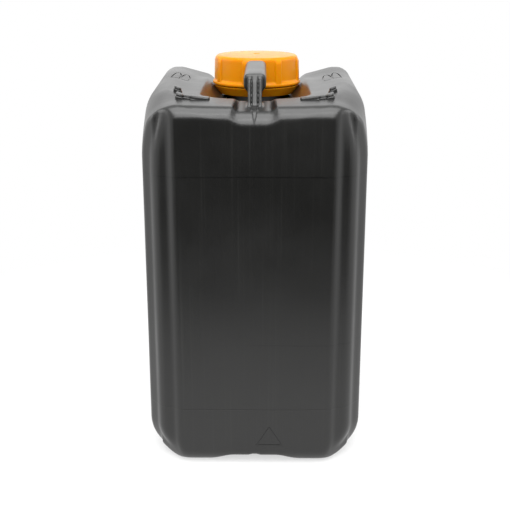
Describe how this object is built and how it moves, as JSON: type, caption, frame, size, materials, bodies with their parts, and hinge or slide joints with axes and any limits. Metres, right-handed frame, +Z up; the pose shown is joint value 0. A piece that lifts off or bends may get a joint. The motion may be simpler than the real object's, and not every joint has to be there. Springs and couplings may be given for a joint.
{
  "type": "motor oil jerrycan",
  "caption": "Upright blow-moulded plastic jerrycan with recessed corner columns, an integral top handle, stacking lugs and a ribbed screw cap over a tamper ring.",
  "frame": {"origin": "on the floor under the middle of the can's bounding box", "axes": "+Z up, +Y from the handle's front post towards the neck, +X to the right seen from the front"},
  "size_m": [0.145, 0.19, 0.2642],
  "materials": {
    "can_plastic": "semi-matt black blow-moulded polyethylene",
    "cap_plastic": "satin amber-yellow injection-moulded polyethylene",
    "ring_plastic": "satin amber-yellow injection-moulded polyethylene",
    "seal_foam": "off-white expanded polyethylene foam"
  },
  "bodies": {
    "can": {"container": "can_plastic", "tamper_ring": "ring_plastic"},
    "seal": {"seal_disc": "seal_foam"},
    "cap": {"cap": "cap_plastic"}
  },
  "joints": [
    {"name": "cap_lift", "type": "slide", "parent": "can", "child": "seal", "axis": [0, 0, 1], "range_m": [0, 0.009]},
    {"name": "cap_turn", "type": "hinge", "parent": "seal", "child": "cap", "pos_m": [0, 0.047, 0.2525], "axis": [0, 0, 1], "range_deg": [0, 540]}
  ],
  "couplings": [
    {"joint": "cap_lift", "follows": "cap_turn", "m_per_rad": 0.00095493}
  ]
}
